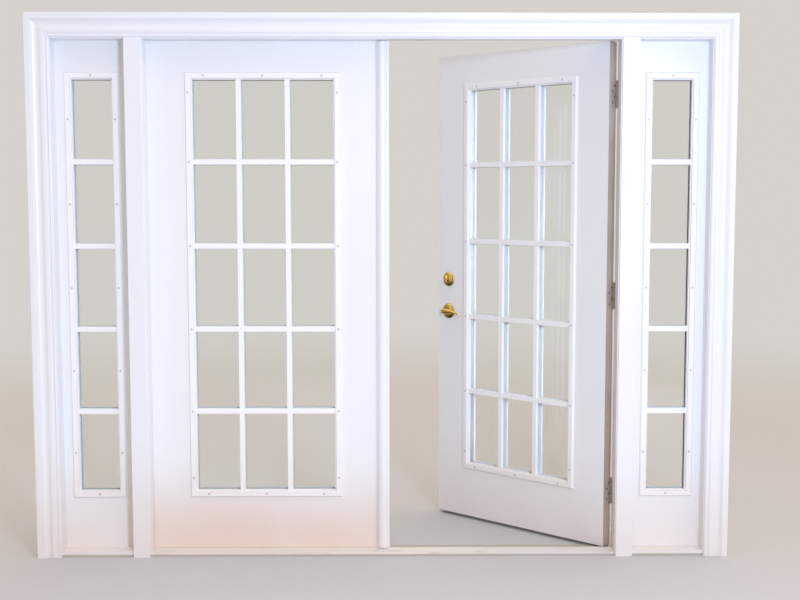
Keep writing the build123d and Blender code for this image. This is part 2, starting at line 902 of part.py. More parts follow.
# T astragal on the passive leaf: a stem on its edge and a rounded moulding over the meeting gap
with BuildPart() as astragal:
    arc_left = crest_left + astragal_quirk
    arc_end = shoulder - astragal_arc_drop
    crest_middle = (crest_left + crest_right) / 2 + astragal_lean
    with BuildSketch(Plane.XY.offset(leaf_bottom)):
        with BuildLine():
            Polyline(
                (crest_left, shoulder),
                (crest_left, leaf_room),
                (stem_left, leaf_room),
                (stem_left, leaf_outside),
                (stem_right, leaf_outside),
                (stem_right, moulding_back),
                (moulding_right, moulding_back),
                (moulding_right, shoulder),
                (crest_right, shoulder),
                (crest_right, arc_end),
            )
            ThreePointArc(
                (crest_right, arc_end),
                (crest_middle, leaf_room - astragal_crest),
                (arc_left, arc_end),
            )
            Polyline((arc_left, arc_end), (arc_left, shoulder), (crest_left, shoulder))
        make_face()
    extrude(amount=leaf_height)
    moulding_x = (crest_left - 1, moulding_right + 1)
    block(moulding_x, (0, leaf_room), (moulding_top, leaf_top + 1), Mode.SUBTRACT)
    block(moulding_x, (0, leaf_room), (leaf_bottom - 1, moulding_bottom), Mode.SUBTRACT)
    cut_bolt_pockets()
    for level in (lever_level, deadbolt_level):
        block(
            (stem_right - strike_thickness, stem_right),
            (leaf_middle - strike_width / 2, leaf_middle + strike_width / 2),
            (level - strike_height / 2, level + strike_height / 2),
            Mode.SUBTRACT,
        )
    for end, up, throw in (
        (flush_top_end, 1, flush_throw_top),
        (flush_bottom_end, -1, flush_throw_bottom),
    ):
        inner_end = end - up * flush_length
        block(
            (stem_middle, stem_right),
            (
                leaf_middle - flush_tab_width / 2 - part_clearance,
                leaf_middle + flush_tab_width / 2 + part_clearance,
            ),
            (
                inner_end + up * (flush_tab_offset - part_clearance),
                inner_end + up * (flush_tab_offset + flush_tab_height + throw + part_clearance),
            ),
            Mode.SUBTRACT,
        )
        align_end = Align.MIN if up > 0 else Align.MAX
        with Locations((stem_middle, leaf_middle, inner_end - up * part_clearance)):
            Cylinder(
                flush_radius + part_clearance,
                flush_length + 5,
                align=(Align.CENTER, Align.CENTER, align_end),
                mode=Mode.SUBTRACT,
            )
finish(astragal, "astragal")

# Foam seal behind the astragal's moulding, facing the active leaf
with BuildPart() as astragal_seal:
    block(
        (meeting_edge + astragal_seal_inset, crest_right + astragal_seal_inset),
        (moulding_back, bulb_end),
        (moulding_bottom, moulding_top),
    )
finish(astragal_seal, "astragal_seal")

# Strike plates let into the astragal's edge
with BuildPart() as strike_plates:
    for level, width, height in (
        (lever_level, 2 * latch_radius, 2 * latch_radius),
        (deadbolt_level, deadbolt_width, deadbolt_height),
    ):
        block(
            (stem_right - strike_thickness, stem_right),
            (leaf_middle - strike_width / 2, leaf_middle + strike_width / 2),
            (level - strike_height / 2, level + strike_height / 2),
        )
        bolt_pocket(level, width, height, edge_gap + strike_thickness)
finish(strike_plates, "strike_plates")

# Flush bolts: a rod in the astragal's stem with a finger tab at its inner end
for name, end, up in (("top", flush_top_end, 1), ("bottom", flush_bottom_end, -1)):
    with BuildPart() as flush_bolt:
        middle = end - up * flush_length / 2
        with Locations((stem_middle, leaf_middle, middle)):
            Cylinder(flush_radius, flush_length)
        inner_end = end - up * flush_length
        block(
            (stem_middle, stem_right - flush_clearance),
            (leaf_middle - flush_tab_width / 2, leaf_middle + flush_tab_width / 2),
            (
                inner_end + up * flush_tab_offset,
                inner_end + up * (flush_tab_offset + flush_tab_height),
            ),
        )
    finish(flush_bolt, f"flush_bolt_{name}")


def room_disc(radius, level, start, end):
    """Add a disc about a lock axis between two depths."""
    with Locations(Location((lock_x, (start + end) / 2, level), (90, 0, 0))):
        Cylinder(radius, abs(end - start))


def bore_through(radius, level):
    """Cut a hole along a lock axis through the piece being built."""
    with Locations(Location((lock_x, leaf_middle, level), (90, 0, 0))):
        Cylinder(radius, 6 * leaf_thickness, mode=Mode.SUBTRACT)


def build_rose(face, radius, level, hole):
    """A round domed rose on the room face (face -1) or the outside face (face 1)."""
    surface = leaf_room if face < 0 else leaf_outside
    with BuildPart() as rose:
        room_disc(radius, level, surface, surface + face * rose_thickness)
        rim = rose.edges().filter_by(GeomType.CIRCLE).sort_by(Axis.Y)
        fillet(rim[0] if face < 0 else rim[-1], rose_thickness * 0.6)
        bore_through(hole, level)
    return rose


def build_lever(face):
    """A lever with a gently waved grip, its hub and its half of the spindle."""
    surface = leaf_room if face < 0 else leaf_outside
    grip_y = surface + face * lever_reach
    with BuildPart() as lever:
        hub_back = surface + face * hub_start
        room_disc(hub_radius, lever_level, hub_back, grip_y + face * lever_half_depth)
        rim = lever.edges().filter_by(GeomType.CIRCLE).sort_by(Axis.Y)
        chamfer(rim[0] if face < 0 else rim[-1], lever_cap_chamfer)
        grip = Plane(origin=(lock_x, grip_y, lever_level), x_dir=(1, 0, 0), z_dir=(0, -1, 0))
        with BuildSketch(grip):
            with BuildLine():
                for first, second, third in lever_arcs:
                    ThreePointArc(first, second, third)
                Line((0, -lever_half_height), (0, lever_half_height))
            make_face()
        extrude(amount=lever_half_depth, both=True, taper=lever_taper)
        spindle_half = (leaf_thickness / 2 - part_clearance / 2) * face
        block(
            (lock_x - spindle_size / 2, lock_x + spindle_size / 2),
            (hub_back, surface - spindle_half),
            (lever_level - spindle_size / 2, lever_level + spindle_size / 2),
        )
    return lever


# Lever lock: two roses, two levers, the latch bolt in its tubular case
rose_hole = hub_radius + part_clearance
finish_on_active_leaf(build_rose(-1, rose_radius, lever_level, rose_hole), "lever_rose_inside")
finish_on_active_leaf(build_rose(1, rose_radius, lever_level, rose_hole), "lever_rose_outside")
finish_on_active_leaf(build_lever(-1), "lever_inside")
finish_on_active_leaf(build_lever(1), "lever_outside")

with BuildPart() as bolt_cases:
    for level in (lever_level, deadbolt_level):
        block(
            (meeting_edge, meeting_edge + faceplate_thickness),
            (leaf_middle - faceplate_width / 2, leaf_middle + faceplate_width / 2),
            (level - faceplate_height / 2, level + faceplate_height / 2),
        )
        with Locations(Location((meeting_edge, leaf_middle, level), (0, 90, 0))):
            Cylinder(
                edge_bore - latch_case_gap,
                latch_case_length,
                align=(Align.CENTER, Align.CENTER, Align.MIN),
            )
    case_start = (meeting_edge + faceplate_thickness, leaf_middle, deadbolt_level)
    with Locations(Location(case_start, (0, 90, 0))):
        Cylinder(
            edge_bore - latch_case_wall,
            latch_case_length,
            align=(Align.CENTER, Align.CENTER, Align.MIN),
            mode=Mode.SUBTRACT,
        )
    with Locations(Location((meeting_edge, leaf_middle, lever_level), (0, 90, 0))):
        Cylinder(latch_radius + part_clearance, 3 * latch_case_length, mode=Mode.SUBTRACT)
    block(
        (meeting_edge - 1, meeting_edge + faceplate_thickness + 1),
        (
            leaf_middle - deadbolt_width / 2 - part_clearance,
            leaf_middle + deadbolt_width / 2 + part_clearance,
        ),
        (
            deadbolt_level - deadbolt_height / 2 - part_clearance,
            deadbolt_level + deadbolt_height / 2 + part_clearance,
        ),
        Mode.SUBTRACT,
    )
finish_on_active_leaf(bolt_cases, "bolt_cases")

# Latch bolt, out at rest, with its slanted closing face towards the outside
with BuildPart() as latch_bolt:
    with Locations(Location((meeting_edge - latch_throw, leaf_middle, lever_level), (0, 90, 0))):
        Cylinder(
            latch_radius,
            latch_throw + latch_case_length - latch_tail,
            align=(Align.CENTER, Align.CENTER, Align.MIN),
        )
    slant = Plane(
        origin=(meeting_edge - latch_throw, leaf_middle + latch_radius * 0.2, lever_level),
        z_dir=(-1, -latch_slant, 0),
    )
    split(bisect_by=slant, keep=Keep.BOTTOM)
finish_on_active_leaf(latch_bolt, "latch_bolt")

# Deadbolt, drawn in at rest
with BuildPart() as deadbolt:
    block(
        (meeting_edge + part_clearance, meeting_edge + latch_case_length - deadbolt_tail),
        (leaf_middle - deadbolt_width / 2, leaf_middle + deadbolt_width / 2),
        (deadbolt_level - deadbolt_height / 2, deadbolt_level + deadbolt_height / 2),
    )
    chamfer(deadbolt.edges().filter_by(Axis.Z).group_by(Axis.X)[0], 1.0)
finish_on_active_leaf(deadbolt, "deadbolt")

# Deadbolt trim: rose and thumb turn in the room, key cylinder outside
deadbolt_rose = build_rose(-1, deadbolt_rose_radius, deadbolt_level, thumb_hub + part_clearance)
finish_on_active_leaf(deadbolt_rose, "deadbolt_rose")

with BuildPart() as thumb_turn:
    rose_front = leaf_room - rose_thickness
    hub_back = leaf_room - hub_start
    room_disc(thumb_hub, deadbolt_level, hub_back, rose_front - thumb_hub_proud)
    turn_base = (lock_x, rose_front - hub_start, deadbolt_level)
    with BuildSketch(Plane(origin=turn_base, z_dir=(0, -1, 0))):
        SlotOverall(thumb_turn_length, thumb_turn_width, rotation=90)
    extrude(amount=thumb_turn_reach, taper=thumb_taper)
    fillet(thumb_turn.faces().sort_by(Axis.Y)[0].edges(), thumb_round)
    block(
        (lock_x - tailpiece_width / 2, lock_x + tailpiece_width / 2),
        (hub_back, leaf_middle + deadbolt_width / 2),
        (deadbolt_level - tailpiece_height / 2, deadbolt_level + tailpiece_height / 2),
    )
finish_on_active_leaf(thumb_turn, "thumb_turn")

with BuildPart() as key_cylinder:
    cap_front = leaf_outside + cylinder_cap
    plug_front = cap_front + cylinder_plug_proud
    room_disc(deadbolt_rose_radius, deadbolt_level, leaf_outside, cap_front)
    rim = key_cylinder.edges().filter_by(GeomType.CIRCLE).sort_by(Axis.Y)[-1]
    chamfer(rim, cylinder_cap_chamfer)
    room_disc(cylinder_plug_radius, deadbolt_level, leaf_outside, plug_front)
    room_disc(cylinder_body_radius, deadbolt_level, leaf_outside, leaf_middle + deadbolt_width)
    block(
        (lock_x - keyway_width / 2, lock_x + keyway_width / 2),
        (plug_front + 1 - keyway_depth, plug_front + 1),
        (deadbolt_level - keyway_height / 2, deadbolt_level + keyway_height / 2),
        Mode.SUBTRACT,
    )
finish_on_active_leaf(key_cylinder, "key_cylinder")
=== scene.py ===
from math import cos, pi, radians, sin, sqrt

import bmesh
import bpy
from mathutils import Matrix, Vector


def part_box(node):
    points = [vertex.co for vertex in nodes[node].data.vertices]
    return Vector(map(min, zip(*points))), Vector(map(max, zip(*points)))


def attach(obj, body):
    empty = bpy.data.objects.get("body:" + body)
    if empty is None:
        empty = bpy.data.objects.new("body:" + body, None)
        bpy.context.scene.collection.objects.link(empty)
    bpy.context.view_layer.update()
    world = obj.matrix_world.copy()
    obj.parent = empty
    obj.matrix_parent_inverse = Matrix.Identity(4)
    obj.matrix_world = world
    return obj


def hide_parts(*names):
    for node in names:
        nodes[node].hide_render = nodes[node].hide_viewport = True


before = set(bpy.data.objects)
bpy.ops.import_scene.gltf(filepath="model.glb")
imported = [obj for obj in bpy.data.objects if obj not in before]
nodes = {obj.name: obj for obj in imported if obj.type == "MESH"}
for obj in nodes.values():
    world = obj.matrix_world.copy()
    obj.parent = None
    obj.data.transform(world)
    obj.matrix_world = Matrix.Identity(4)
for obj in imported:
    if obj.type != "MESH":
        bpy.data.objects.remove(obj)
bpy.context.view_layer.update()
print("frame loaded:", len(nodes), "nodes")

# Camera at the photograph's place: about 5 m into the room, 1.43 m up, looking slightly down
photoCamera = {
    "place": (0.0551, -5.0750, 1.4290),
    "down": 5.572,
    "toRight": 0.595,
    "lens": 58.94,
    "shift": (-0.01314, 0.02705),
}
cameraData = bpy.data.cameras.new("photoCamera")
cameraData.lens = photoCamera["lens"]
cameraData.sensor_width = 36
cameraData.shift_x, cameraData.shift_y = photoCamera["shift"]
camera = bpy.data.objects.new("photoCamera", cameraData)
camera.location = photoCamera["place"]
camera.rotation_euler = (radians(90 - photoCamera["down"]), 0, radians(-photoCamera["toRight"]))
bpy.context.scene.collection.objects.link(camera)
bpy.context.scene.camera = camera


def linearColour(code):
    # sRGB hex to the linear numbers that shaders take
    parts = [int(code[i:i + 2], 16) / 255 for i in (1, 3, 5)]
    linear = [c / 12.92 if c <= 0.04045 else ((c + 0.055) / 1.055) ** 2.4 for c in parts]
    return (*linear, 1.0)


def addNode(tree, kind, settings=None, values=None, links=None):
    node = tree.nodes.new("ShaderNode" + kind)
    for key, value in (settings or {}).items():
        setattr(node, key, value)
    for key, value in (values or {}).items():
        node.inputs[key].default_value = value
    for key, source in (links or {}).items():
        tree.links.new(source, node.inputs[key])
    return node


def newMaterial(name, **values):
    material = bpy.data.materials.new(name)
    material.use_nodes = True
    tree = material.node_tree
    tree.nodes.clear()
    named = {key.replace("_", " "): value for key, value in values.items()}
    shader = addNode(tree, "BsdfPrincipled", values=named)
    addNode(tree, "OutputMaterial", links={"Surface": shader.outputs[0]})
    return material, tree, shader


def showInstead(tree, source):
    # the material shows this shader in place of its first one
    output = next(node for node in tree.nodes if node.type == "OUTPUT_MATERIAL")
    tree.links.new(source, output.inputs[0])


def speckle(tree, place, size, detail=3.0):
    # noise whose blotches are size (x, y, z) in mm, read in the piece's own frame
    perMetre = [1000 / s for s in size]
    scaled = addNode(tree, "VectorMath", {"operation": "MULTIPLY"}, {1: perMetre}, {0: place})
    values = {"Scale": 1.0, "Detail": detail}
    return addNode(tree, "TexNoise", None, values, {"Vector": scaled.outputs[0]}).outputs[0]


def ramp(tree, source, low, high, start=0.0, end=1.0):
    return addNode(
        tree,
        "MapRange",
        {"interpolation_type": "SMOOTHSTEP"},
        {"From Min": low, "From Max": high, "To Min": start, "To Max": end},
        {"Value": source},
    ).outputs[0]


def blendColours(tree, amount, first, second):
    # first and second are hex codes or sockets
    node = addNode(tree, "Mix", {"data_type": "RGBA"}, None, {0: amount})
    for index, colour in ((6, first), (7, second)):
        if isinstance(colour, str):
            node.inputs[index].default_value = linearColour(colour)
        else:
            tree.links.new(colour, node.inputs[index])
    return node.outputs[2]


def combine(tree, operation, first, second):
    node = addNode(tree, "Math", {"operation": operation})
    for index, value in enumerate((first, second)):
        if isinstance(value, (int, float)):
            node.inputs[index].default_value = value
        else:
            tree.links.new(value, node.inputs[index])
    return node.outputs[0]


def addRelief(tree, shader, place, size, depth, edge):
    # rounded arrises and a fine relief in their skin, all in mm
    soft = addNode(tree, "Bevel", {"samples": 4}, {"Radius": edge / 1000}).outputs[0]
    values = {"Strength": 1.0, "Distance": depth / 1000}
    links = {"Height": speckle(tree, place, size, 2.0), "Normal": soft}
    bump = addNode(tree, "Bump", None, values, links)
    tree.links.new(bump.outputs[0], shader.inputs["Normal"])


# What all the paint films share: blotch sizes in mm, and where on its noise each one starts
paintFilm = {
    "cloud": (260, 260, 420),
    "cloudRange": (0.25, 0.7),
    "leastTiredAndBounce": 0.75,
    "smudge": (90, 90, 140),
    "smudgeRange": (0.5, 0.8),
    "cornerRange": (0.62, 0.2),
    "bareRange": (0.9, 0.97),
    "stainRange": (0.3, 0.7),
    "shinePatch": (60, 60, 60),
    "shineRange": (0.3, 0.7),
    "shineDrift": (-0.01, 0.02),
}


def paintSurface(name, spec):
    # A paint film: its white, the tired tone low down where feet and mops reach, warmed there with
    # painted bounce light from the floor, dust and painted shade in the corners, and either bristle
    # lines or orange peel as its relief
    material, tree, shader = newMaterial(name, Roughness=spec["roughness"], IOR=1.5)
    place = addNode(tree, "TexCoord").outputs["Object"]
    height = addNode(tree, "SeparateXYZ", links={0: place}).outputs[2]
    cloud = speckle(tree, place, paintFilm["cloud"])
    # the foot is darker and warmer: partly dirt and scuffs, partly painted bounce light from the
    # floor
    low = ramp(tree, height, spec["tiredAndBounceTop"] / 1000, 0.0)
    uneven = ramp(tree, cloud, *paintFilm["cloudRange"], paintFilm["leastTiredAndBounce"], 1.0)
    patchy = combine(tree, "MULTIPLY", low, uneven)
    colour = blendColours(tree, patchy, spec["white"], spec["tiredAndBounce"])
    smudge = speckle(tree, place, paintFilm["smudge"], 6.0)
    faint = ramp(tree, smudge, *paintFilm["smudgeRange"], 0.0, spec["handled"])
    colour = blendColours(tree, faint, colour, spec["tiredAndBounce"])
    # ambient occlusion darkens the corners and joints: partly dust, partly painted shade
    reach = {"Distance": spec["dustAndShadeReach"] / 1000}
    settings = {"samples": 6, "only_local": True}
    corner = addNode(tree, "AmbientOcclusion", settings, reach).outputs["AO"]
    dustAndShade = combine(tree, "MULTIPLY", ramp(tree, corner, *paintFilm["cornerRange"]), spec["dustAndShade"])
    colour = blendColours(tree, dustAndShade, colour, spec["dustAndShadeTone"])
    if "bareWay" in spec:
        way = addNode(tree, "TexCoord").outputs["Normal"]
        towards = {1: spec["bareWay"]}
        facing = addNode(tree, "VectorMath", {"operation": "DOT_PRODUCT"}, towards, {0: way})
        bare = ramp(tree, facing.outputs["Value"], *paintFilm["bareRange"])
        stained = ramp(tree, cloud, *paintFilm["stainRange"])
        stain = blendColours(tree, stained, spec["bare"], spec["bareStain"])
        colour = blendColours(tree, bare, colour, stain)
    tree.links.new(colour, shader.inputs["Base Color"])
    patch = speckle(tree, place, paintFilm["shinePatch"])
    drift = [spec["roughness"] + change for change in paintFilm["shineDrift"]]
    gloss = ramp(tree, patch, *paintFilm["shineRange"], *drift)
    tree.links.new(gloss, shader.inputs["Roughness"])
    addRelief(tree, shader, place, spec["relief"], spec["reliefDepth"], spec["edge"])
    return material


# Satin acrylic enamel brushed on pine: fine lines along each board, soft arrises, joints darkened
# with dust and painted shade.
# Bristle lines are 1 mm apart and would not show, so they are drawn 5 mm apart.
trimEnamel = {
    "white": "#F0F3F7",
    "tiredAndBounce": "#E9E1DA",
    "dustAndShadeTone": "#A79F9B",
    "roughness": 0.36,
    "tiredAndBounceTop": 520,
    "handled": 0.06,
    "dustAndShade": 0.5,
    "dustAndShadeReach": 9,
    "edge": 1.2,
    "relief": (5, 5, 260),
    "reliefDepth": 0.10,
}
brushedUpright = paintSurface("brushedEnamelUpright", trimEnamel)
brushedLevel = paintSurface("brushedEnamelLevel", {**trimEnamel, "relief": (260, 5, 5)})

# Door slab skin, sprayed alkyd over a smooth skin: orange peel of 2 to 3 mm, drawn 9 mm wide
slabSpray = {
    **trimEnamel,
    "white": "#F0F3F4",
    "tiredAndBounce": "#E9E1D9",
    "tiredAndBounceTop": 430,
    "roughness": 0.3,
    "handled": 0.02,
    "relief": (9, 9, 9),
    "reliefDepth": 0.012,
    "edge": 1.0,
}
sprayedSlab = paintSurface("sprayedAlkydSlab", slabSpray)

# The leaves' slabs are walked past: more scuffed at the foot and warmed there with painted bounce
# light from the floor, the left leaf most, and taupe primer and grime are all that covers their
# hinge edges
leafSpray = {**slabSpray, "tiredAndBounce": "#E4CEBC", "bare": "#D3C4B8", "bareStain": "#BBAA9B"}
openSpray = {**leafSpray, "tiredAndBounce": "#EAE2DC", "bareWay": (sqrt(0.5), -sqrt(0.5), 0)}
leafSlabs = {
    "left": paintSurface("sprayedAlkydLeafLeft", {**leafSpray, "bareWay": (-1, 0, 0)}),
    "right": paintSurface("sprayedAlkydLeafRight", openSpray),
}

# Lite frame, injection-moulded polystyrene: softer edges and an even, slightly waxy white
mouldedLite = {
    **trimEnamel,
    "white": "#F8F9FA",
    "tiredAndBounce": "#ECE6DF",
    "tiredAndBounceTop": 600,
    "roughness": 0.4,
    "handled": 0.04,
    "dustAndShade": 0.55,
    "dustAndShadeReach": 6,
    "edge": 1.0,
    "relief": (3, 3, 3),
    "reliefDepth": 0.015,
}
mouldedPolystyrene = paintSurface("mouldedPolystyreneLite", mouldedLite)

# Push-in screw caps of low-density polyethylene: greyer than the frame, with a dark ring of dust
# and painted shade round each
capPolyethylene = {
    **mouldedLite,
    "white": "#D4D0D0",
    "tiredAndBounce": "#BDB4AE",
    "dustAndShadeTone": "#7F7770",
    "roughness": 0.5,
    "dustAndShade": 0.9,
    "dustAndShadeReach": 2.5,
    "edge": 0.4,
}
pressedCap = paintSurface("mouldedPolyethyleneCap", capPolyethylene)

# Kerf weatherstrip and bulbs, vinyl-skinned urethane foam: matt, taupe where grime has settled
foamStrip = {
    **trimEnamel,
    "white": "#CFC5BC",
    "tiredAndBounce": "#A99C90",
    "dustAndShadeTone": "#6E645B",
    "roughness": 0.62,
    "tiredAndBounceTop": 900,
    "handled": 0.5,
    "edge": 1.5,
    "relief": (4, 4, 4),
    "reliefDepth": 0.05,
}
vinylFoam = paintSurface("vinylSkinnedFoam", foamStrip)

# Door sweep, extruded flexible vinyl: grey-brown, scuffed and dusty
sweepVinyl = {
    **foamStrip,
    "white": "#857B72",
    "tiredAndBounce": "#6F665E",
    "dustAndShadeTone": "#3F3934",
    "roughness": 0.55,
}
extrudedVinyl = paintSurface("extrudedVinylSweep", sweepVinyl)

# Sill, extruded wood-plastic composite: matt grey-brown with wood flecks along its length
sillBoard = {
    **trimEnamel,
    "white": "#CFC8BD",
    "tiredAndBounce": "#B3A99C",
    "dustAndShadeTone": "#4E473F",
    "roughness": 0.7,
    "tiredAndBounceTop": 20,
    "handled": 0.8,
    "relief": (22, 2, 2),
    "reliefDepth": 0.12,
}
woodComposite = paintSurface("extrudedWoodComposite", sillBoard)
print("paints and plastics ready")


# What all the metals share: how softly the wear sets in, in the open, the tarnish and painted shade
# in folds, and the painted shade underneath
metalWear = {
    "wornSpread": 0.3,
    "cornerRange": (0.6, 0.2),
    "undersideShadeRange": (0.1, -0.5),
}


def metalSurface(name, spec):
    # A bare or plated metal: its own colour, grime or corrosion in patches, tarnish and painted
    # shade in its folds, painted shade on its undersides where given, and a drawn grain
    basic = {"Metallic": spec["metallic"], "Roughness": spec["roughness"]}
    material, tree, shader = newMaterial(name, **basic)
    place = addNode(tree, "TexCoord").outputs["Object"]
    height = addNode(tree, "SeparateXYZ", links={0: place}).outputs[2]
    patch = speckle(tree, place, spec["patch"], 5.0)
    level = ramp(tree, height, *spec["worseBelow"])
    wear = combine(tree, "ADD", patch, level)
    worn = ramp(tree, wear, spec["wornFrom"], spec["wornFrom"] + metalWear["wornSpread"])
    colour = blendColours(tree, worn, spec["metal"], spec["grimeAndShade"])
    # ambient occlusion darkens the folds and the skin beside other parts: partly tarnish, partly
    # painted shade
    reach = {"Distance": spec["creviceReach"] / 1000}
    corner = addNode(tree, "AmbientOcclusion", {"samples": 6}, reach).outputs["AO"]
    folded = ramp(tree, corner, *metalWear["cornerRange"], 0.0, spec["crevice"])
    colour = blendColours(tree, folded, colour, spec["grimeAndShade"])
    # downward-facing skin is darkened by its normal alone: painted shade
    if "undersideShade" in spec:
        way = addNode(tree, "SeparateXYZ", links={0: addNode(tree, "TexCoord").outputs["Normal"]})
        under = ramp(tree, way.outputs[2], *metalWear["undersideShadeRange"])
        colour = blendColours(tree, under, colour, spec["undersideShade"])
    tree.links.new(colour, shader.inputs["Base Color"])
    rough = ramp(tree, worn, 0.0, 1.0, spec["roughness"], spec["wornRoughness"])
    tree.links.new(rough, shader.inputs["Roughness"])
    bare = ramp(tree, worn, 0.0, 1.0, spec["metallic"], spec["wornMetallic"])
    tree.links.new(bare, shader.inputs["Metallic"])
    addRelief(tree, shader, place, spec["grain"], spec["grainDepth"], spec["edge"])
    return material


noWorseLow = (9.0, 8.0, 0.0, 0.0)  # starts above the doors and adds nothing

# Polished brass, cast, buffed and lacquered: mirror-like gold, with faint tarnish and painted shade
# in the folds, and undersides painted browner as shade
castBrass = {
    "metal": "#F6D67C",
    "grimeAndShade": "#6E5016",
    "undersideShade": "#6A4A12",
    "metallic": 1.0,
    "wornMetallic": 1.0,
    "roughness": 0.11,
    "wornRoughness": 0.28,
    "patch": (14, 14, 14),
    "wornFrom": 0.62,
    "worseBelow": noWorseLow,
    "crevice": 0.9,
    "creviceReach": 3,
    "edge": 0.5,
    "grain": (1.2, 1.2, 1.2),
    "grainDepth": 0.004,
}
polishedBrass = metalSurface("polishedCastBrass", castBrass)

# Hinge, stamped steel with a dull nickel plate: grey, handled and grimy, worst low down
stampedHinge = {
    **castBrass,
    "metal": "#DAD5CE",
    "grimeAndShade": "#C4BBB0",
    "metallic": 0.4,
    "wornMetallic": 0.25,
    "roughness": 0.45,
    "wornRoughness": 0.72,
    "patch": (9, 9, 16),
    "wornFrom": 0.52,
    "worseBelow": (1.9, 0.9, 0.0, 0.22),
    "crevice": 0.6,
    "creviceReach": 2,
    "grain": (0.8, 0.8, 9),
    "grainDepth": 0.02,
}
platedSteel = metalSurface("stampedNickelPlatedSteel", stampedHinge)

# Hinge screw, zinc-plated steel gone to brown rust on the middle and lower hinges
rustedScrew = {
    **stampedHinge,
    "metal": "#9A8A78",
    "grimeAndShade": "#85492A",
    "metallic": 0.7,
    "wornMetallic": 0.05,
    "wornRoughness": 0.9,
    "patch": (3, 3, 3),
    "wornFrom": 0.5,
    "worseBelow": (1.75, 1.2, 0.0, 0.5),
    "grain": (0.9, 0.9, 0.9),
    "grainDepth": 0.06,
}
rustyZinc = metalSurface("rustedZincPlatedSteel", rustedScrew)

# Bolts, cases and strikes, turned and stamped steel under bright zinc: cool, cleanly drawn
brightBolt = {
    **stampedHinge,
    "metal": "#C3C2BE",
    "grimeAndShade": "#85806F",
    "roughness": 0.26,
    "wornFrom": 0.66,
    "worseBelow": noWorseLow,
    "grainDepth": 0.01,
}
brightZinc = metalSurface("brightZincPlatedSteel", brightBolt)

# Threshold saddle, mill-finish extruded aluminium: long draw lines, walked on and dusty
millSaddle = {
    **stampedHinge,
    "metal": "#ECEAE6",
    "grimeAndShade": "#DAD4CA",
    "roughness": 0.5,
    "wornRoughness": 0.6,
    "wornMetallic": 0.6,
    "patch": (120, 30, 30),
    "wornFrom": 0.5,
    "worseBelow": noWorseLow,
    "grain": (300, 1.5, 1.5),
    "grainDepth": 0.03,
}
millAluminium = metalSurface("millFinishAluminium", millSaddle)


def glassSurface(name, tint, roughness):
    # Float glass: clear with a faint green body, and lamps shine through it
    basic = {"IOR": 1.5, "Roughness": roughness, "Transmission_Weight": 1.0}
    material, tree, shader = newMaterial(name, **basic)
    shader.inputs["Base Color"].default_value = linearColour(tint)
    clear = addNode(tree, "BsdfTransparent", values={"Color": linearColour(tint)})
    lamp = addNode(tree, "LightPath").outputs["Is Shadow Ray"]
    choice = {0: lamp, 1: shader.outputs[0], 2: clear.outputs[0]}
    showInstead(tree, addNode(tree, "MixShader", links=choice).outputs[0])
    return material


floatGlass = glassSurface("floatGlass", "#FCFEFD", 0.0)
print("metals and glass ready")


def finishNodes(material, *names):
    for name in names:
        for holder in nodes[name].material_slots:
            holder.material = material


sides = ("left", "right")
finishNodes(brushedLevel, "head_jamb", "casing_head", "sidelite_sill_stops")
for side in sides:
    for board in ("casing_", "mull_cover_", "mull_post_", "side_jamb_"):
        finishNodes(brushedUpright, board + side)
    finishNodes(leafSlabs[side], "leaf_slab_" + side)
    finishNodes(sprayedSlab, "sidelite_slab_" + side)
    for panel in ("leaf", "sidelite"):
        for face in ("room", "outside"):
            finishNodes(mouldedPolystyrene, f"{panel}_lite_frame_{face}_{side}")
        finishNodes(pressedCap, f"{panel}_screw_plugs_{side}")
    finishNodes(extrudedVinyl, "leaf_sweep_" + side)
    finishNodes(platedSteel, "hinge_plates_jamb_" + side, "hinge_plates_leaf_" + side)
finishNodes(brushedUpright, "astragal")
finishNodes(vinylFoam, "weatherstrip", "threshold_seal", "astragal_seal")
finishNodes(woodComposite, "sill")
finishNodes(millAluminium, "threshold_bumper")
finishNodes(platedSteel, "hinge_pins")
finishNodes(brightZinc, "bolt_cases", "strike_plates", "latch_bolt", "deadbolt")
finishNodes(brightZinc, "flush_bolt_top", "flush_bolt_bottom")
finishNodes(polishedBrass, "key_cylinder")

# The active leaf stands 45 degrees open: its pieces are made closed and turned about the pin
activeLeaf = {"pin": (920.5, 121.5), "open": 45}
pinPlace = Vector((*activeLeaf["pin"], 0))
swingOpen = (
    Matrix.Translation(pinPlace)
    @ Matrix.Rotation(radians(-activeLeaf["open"]), 4, "Z")
    @ Matrix.Translation(-pinPlace)
)
toMetres = Matrix.Scale(0.001, 4)


def makePiece(
    name, points, faces, material, body, slotName, replaced=(), turned=False, smooth=True
):
    # points are in mm in the closed frame; turned pieces belong to the open leaf
    place = toMetres @ (swingOpen if turned else Matrix.Identity(4))
    mesh = bpy.data.meshes.new(name)
    mesh.from_pydata([place @ Vector(p) for p in points], [], faces)
    shape = bmesh.new()
    shape.from_mesh(mesh)
    bmesh.ops.recalc_face_normals(shape, faces=shape.faces)
    shape.to_mesh(mesh)
    shape.free()
    for polygon in mesh.polygons:
        polygon.use_smooth = smooth
    mesh.materials.append(material)
    piece = bpy.data.objects.new(name, mesh)
    bpy.context.scene.collection.objects.link(piece)
    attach(piece, body)
    if replaced:
        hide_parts(*replaced)
    return piece


def applied(piece, *modifiers):
    for kind, settings in modifiers:
        modifier = piece.modifiers.new(kind.lower(), kind)
        for key, value in settings.items():
            setattr(modifier, key, value)
    bpy.context.view_layer.update()
    shaped = piece.evaluated_get(bpy.context.evaluated_depsgraph_get())
    finished = bpy.data.meshes.new_from_object(shaped)
    piece.modifiers.clear()
    piece.data = finished
    for polygon in finished.polygons:
        polygon.use_smooth = True
    return piece


